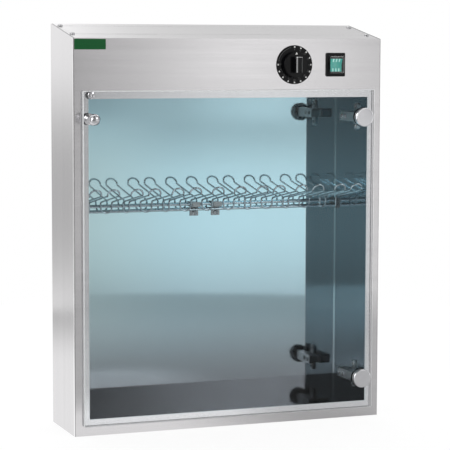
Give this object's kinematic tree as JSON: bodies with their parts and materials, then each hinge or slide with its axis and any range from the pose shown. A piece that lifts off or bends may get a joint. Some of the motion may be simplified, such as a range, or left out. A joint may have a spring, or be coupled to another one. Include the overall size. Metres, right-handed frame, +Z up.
{
  "type": "knife sterilizer cabinet",
  "caption": "Wall cabinet that keeps kitchen knives on a wire rack under an ultraviolet lamp, with a smoked glass door, timer knob and rocker switch.",
  "frame": {"origin": "middle of the body's footprint on its base plane; the door stands 43 mm further forward and is not counted", "axes": "+Z up, +Y towards the wall behind the cabinet, the door faces -Y, +X to the right seen from the front"},
  "size_m": [0.519, 0.1692, 0.637],
  "materials": {
    "satin_steel": "satin brushed",
    "polished_steel": "polished",
    "mirror_steel": "mirror polished steel",
    "screw_steel": "bright zinc",
    "chrome": "bright chrome",
    "nickel": "nickel plated",
    "magnet_nickel": "nickel plated magnet",
    "wire_chrome": "polished steel wire",
    "smoked_glass": "smoked tinted, polished edges",
    "lamp_glass": "clear quartz glass",
    "lamp_aluminium": "satin",
    "reflector_aluminium": "bright rolled",
    "core_steel": "varnished laminations",
    "white_plastic": "moulded",
    "case_plastic": "moulded",
    "spindle_brass": "turned",
    "black_plastic": "semi gloss moulded",
    "black_rubber": "matt",
    "green_rocker": "translucent green",
    "clear_hood": "clear soft plastic"
  },
  "bodies": {
    "cabinet": {"body_shell": "satin_steel", "top_cover": "satin_steel", "cover_screws": "screw_steel", "back_panel": "mirror_steel", "back_screws": "screw_steel", "bottom_panel": "satin_steel", "bottom_screws": "screw_steel", "left_liner": "polished_steel", "right_liner": "polished_steel", "chamber_floor": "polished_steel", "chamber_ceiling": "polished_steel", "lamp_tube": "lamp_glass", "lamp_caps": "lamp_aluminium", "lamp_holders": "white_plastic", "reflector": "reflector_aluminium", "ballast": "core_steel", "starter": "white_plastic", "starter_holder": "white_plastic", "terminal_block": "white_plastic", "timer_housing": "case_plastic", "timer_screws": "screw_steel", "dial_plate": "black_plastic", "switch_housing": "black_plastic", "splash_hood": "clear_hood", "cord_bush": "black_rubber", "mounting_plates": "nickel", "plate_screws": "screw_steel", "hinge_arms": "nickel", "arm_screws": "screw_steel", "catch_magnet": "magnet_nickel", "door_switch": "case_plastic", "rack_hairpins": "wire_chrome", "rack_rods": "wire_chrome", "rack_clips": "nickel", "clip_screws": "screw_steel", "rack_end_hooks": "nickel"},
    "door": {"door_pane": "smoked_glass", "hinge_cups": "nickel", "cup_gaskets": "black_rubber", "hinge_caps": "chrome", "door_knob": "chrome", "knob_screw": "chrome", "striker_screw": "chrome", "striker_plate": "nickel"},
    "timer": {"timer_spindle": "spindle_brass", "timer_knob": "black_plastic"},
    "rocker": {"switch_rocker": "green_rocker"}
  },
  "joints": [
    {"name": "door_hinge", "type": "hinge", "parent": "cabinet", "child": "door", "pos_m": [0.24, -0.075, 0.277], "axis": [0, 0, 1], "range_deg": [0, 95]},
    {"name": "timer_turn", "type": "hinge", "parent": "cabinet", "child": "timer", "pos_m": [0.1062, -0.072, 0.5732], "axis": [0, 1, 0], "range_deg": [0, 270]},
    {"name": "rocker_tilt", "type": "hinge", "parent": "cabinet", "child": "rocker", "pos_m": [0.1772, -0.0625, 0.5732], "axis": [-1, 0, 0], "range_deg": [0, 20]}
  ]
}
